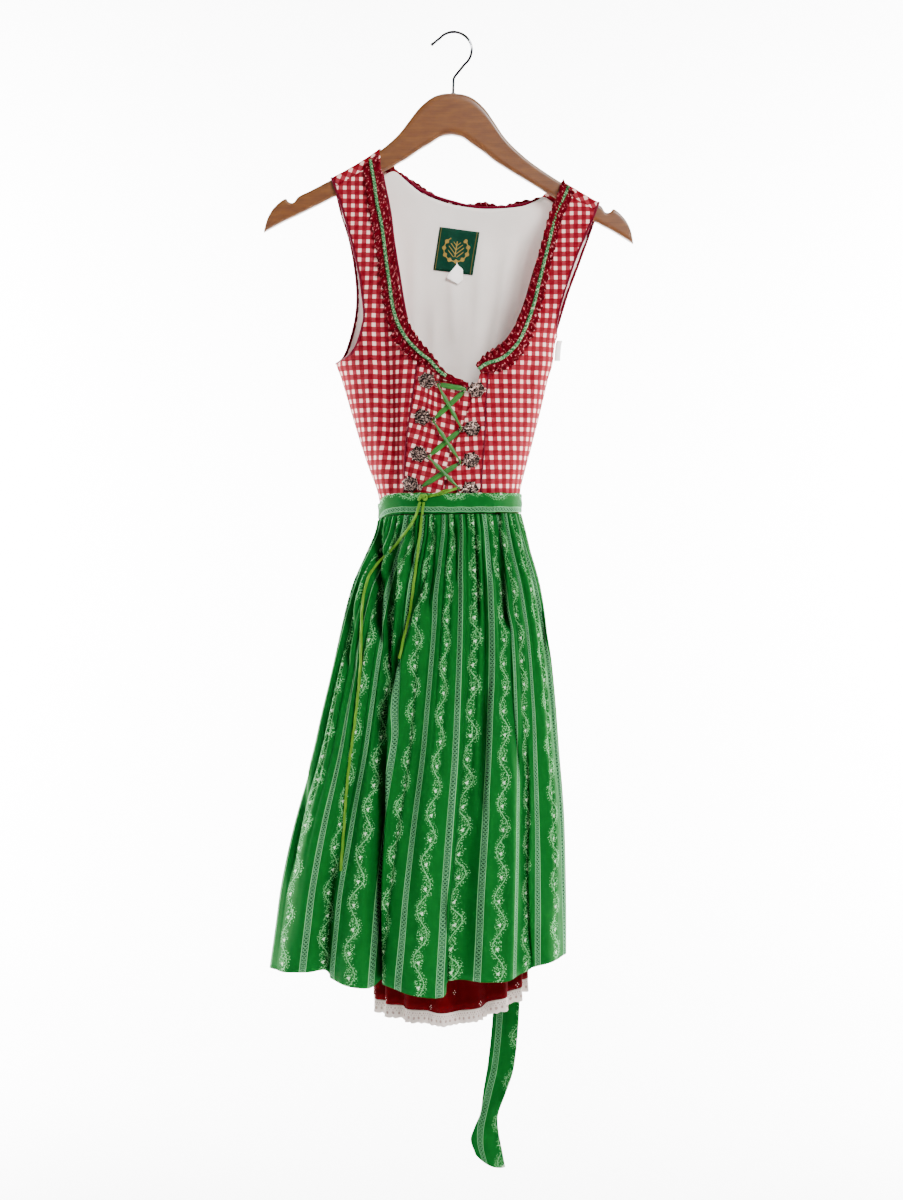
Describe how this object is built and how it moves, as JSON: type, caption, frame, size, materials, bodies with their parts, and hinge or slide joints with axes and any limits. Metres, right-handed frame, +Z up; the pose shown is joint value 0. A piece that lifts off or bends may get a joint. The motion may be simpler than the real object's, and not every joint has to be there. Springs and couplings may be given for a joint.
{
  "type": "dirndl dress on a wooden hanger",
  "caption": "Sleeveless dirndl dress with a laced check bodice and a striped green apron over a red skirt, hung flat on a shaped wooden hanger.",
  "frame": {"origin": "inside top of the hanger's hook, where it rests on a rail", "axes": "+Z up, -Y out of the front of the dress, +X to the right as seen from the front"},
  "size_m": [0.4299, 0.2036, 1.3524],
  "materials": {
    "green_striped_cotton": "matt printed cotton",
    "magenta_piping": "satin bias binding",
    "mint_braid": "twisted rope braid",
    "red_gingham": "woven check cotton",
    "varnished_wood": "satin varnish",
    "chromed_wire": "polished",
    "cotton_lace": "off-white cotton lace",
    "old_silver": "antiqued filigree casting",
    "label_green": "woven satin",
    "tag_white": "woven tape",
    "green_ribbon": "satin ribbon",
    "white_lining": "plain cotton",
    "ruffle_red": "gathered cotton",
    "skirt_red": "printed cotton"
  },
  "bodies": {
    "root": {"apron_skirt": "green_striped_cotton", "apron_tail_long": "green_striped_cotton", "apron_tail_short": "green_striped_cotton", "apron_tie_knot": "green_striped_cotton", "apron_tie_left": "green_striped_cotton", "apron_tie_right": "green_striped_cotton", "apron_waistband": "green_striped_cotton", "armhole_piping_left": "magenta_piping", "armhole_piping_right": "magenta_piping", "back_centre": "red_gingham", "back_side_left": "red_gingham", "back_side_right": "red_gingham", "braid_left": "mint_braid", "braid_right": "mint_braid", "care_label": "tag_white", "front_centre_left": "red_gingham", "front_centre_right": "red_gingham", "front_placket": "red_gingham", "front_side_left": "red_gingham", "front_side_right": "red_gingham", "hanger_body": "varnished_wood", "hanger_hook": "chromed_wire", "hem_lace": "cotton_lace", "hook_left_1": "old_silver", "hook_left_2": "old_silver", "hook_left_3": "old_silver", "hook_left_4": "old_silver", "hook_right_1": "old_silver", "hook_right_2": "old_silver", "hook_right_3": "old_silver", "hook_right_4": "old_silver", "label": "label_green", "lacing_1": "green_ribbon", "lacing_2": "green_ribbon", "lacing_3": "green_ribbon", "lacing_4": "green_ribbon", "lacing_5": "green_ribbon", "lacing_6": "green_ribbon", "lacing_7": "green_ribbon", "lacing_end_long": "green_ribbon", "lacing_end_short": "green_ribbon", "lacing_knot": "green_ribbon", "lacing_to_knot": "green_ribbon", "lining_back": "white_lining", "neck_piping_back": "magenta_piping", "neck_piping_left": "magenta_piping", "neck_piping_right": "magenta_piping", "princess_piping_left": "magenta_piping", "princess_piping_right": "magenta_piping", "ruffle_back": "ruffle_red", "ruffle_left": "ruffle_red", "ruffle_right": "ruffle_red", "shoulder_left": "red_gingham", "shoulder_right": "red_gingham", "size_tab": "tag_white", "skirt": "skirt_red"}
  },
  "joints": []
}
